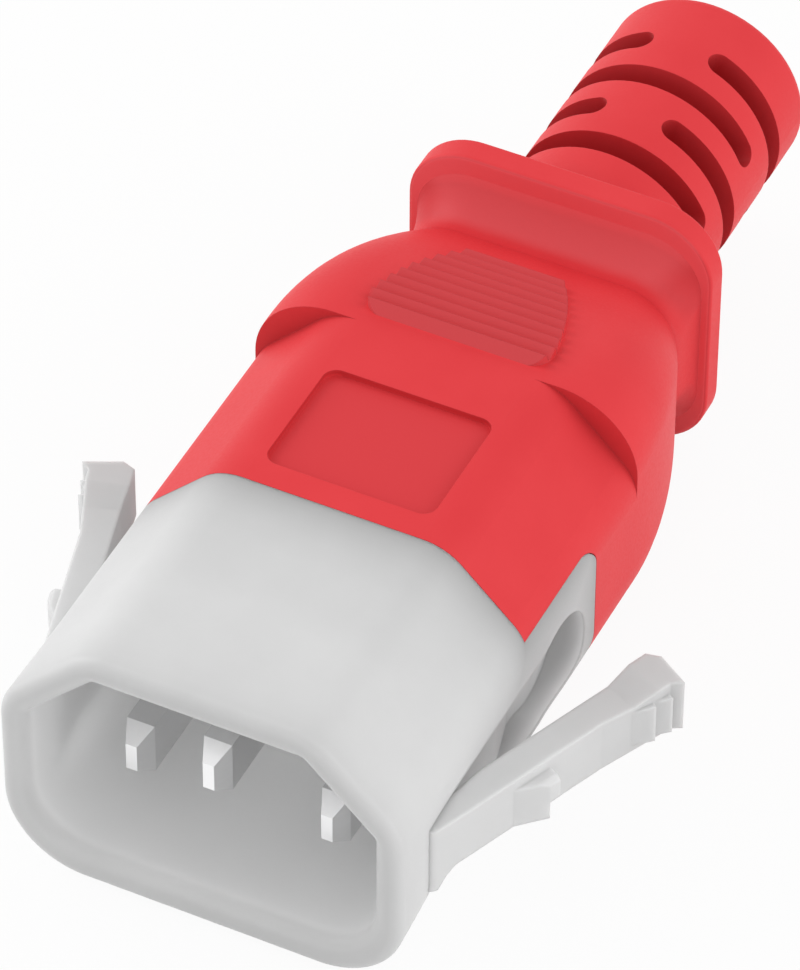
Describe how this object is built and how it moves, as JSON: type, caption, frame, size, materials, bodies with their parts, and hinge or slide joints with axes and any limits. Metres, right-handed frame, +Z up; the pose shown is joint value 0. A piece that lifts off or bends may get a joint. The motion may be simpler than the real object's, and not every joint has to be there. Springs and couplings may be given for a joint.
{
  "type": "locking power cord plug",
  "caption": "Shrouded three-blade power plug with two sprung side latches, a red overmoulded grip, a flange and a slotted strain relief for the cord",
  "frame": {"origin": "centre of the mouth plane of the shroud, on the plug's middle axis, which is also the axis of the cord bore", "axes": "+Y runs from the mouth back to the cord end, +X to the neutral blade, +Z up towards the cut corners of the shroud"},
  "size_m": [0.0444, 0.079, 0.0214],
  "materials": {
    "insert_plastic": "fine matt",
    "latch_plastic": "fine matt",
    "overmould_vinyl": "soft matt",
    "blade_metal": "nickel plated",
    "strand_metal": "bare strands",
    "line_sleeve": "smooth",
    "neutral_sleeve": "smooth",
    "earth_sleeve": "smooth"
  },
  "bodies": {
    "plug": {"plug_insert": "insert_plastic", "overmould": "overmould_vinyl", "line_blade": "blade_metal", "neutral_blade": "blade_metal", "earth_blade": "blade_metal", "line_strands": "strand_metal", "neutral_strands": "strand_metal", "earth_strands": "strand_metal", "line_insulation": "line_sleeve", "neutral_insulation": "neutral_sleeve", "earth_insulation": "earth_sleeve"},
    "right_arm": {"right_latch": "latch_plastic"},
    "left_arm": {"left_latch": "latch_plastic"}
  },
  "joints": [
    {"name": "right_press", "type": "hinge", "parent": "plug", "child": "right_arm", "pos_m": [0.01385, 0.0053, -0.0018], "axis": [0, 0, 1], "range_deg": [0, 16.5], "stiffness_Nm_per_rad": 0.2},
    {"name": "left_press", "type": "hinge", "parent": "plug", "child": "left_arm", "pos_m": [-0.01385, 0.0053, -0.0018], "axis": [0, 0, -1], "range_deg": [0, 9.8], "stiffness_Nm_per_rad": 0.2}
  ]
}
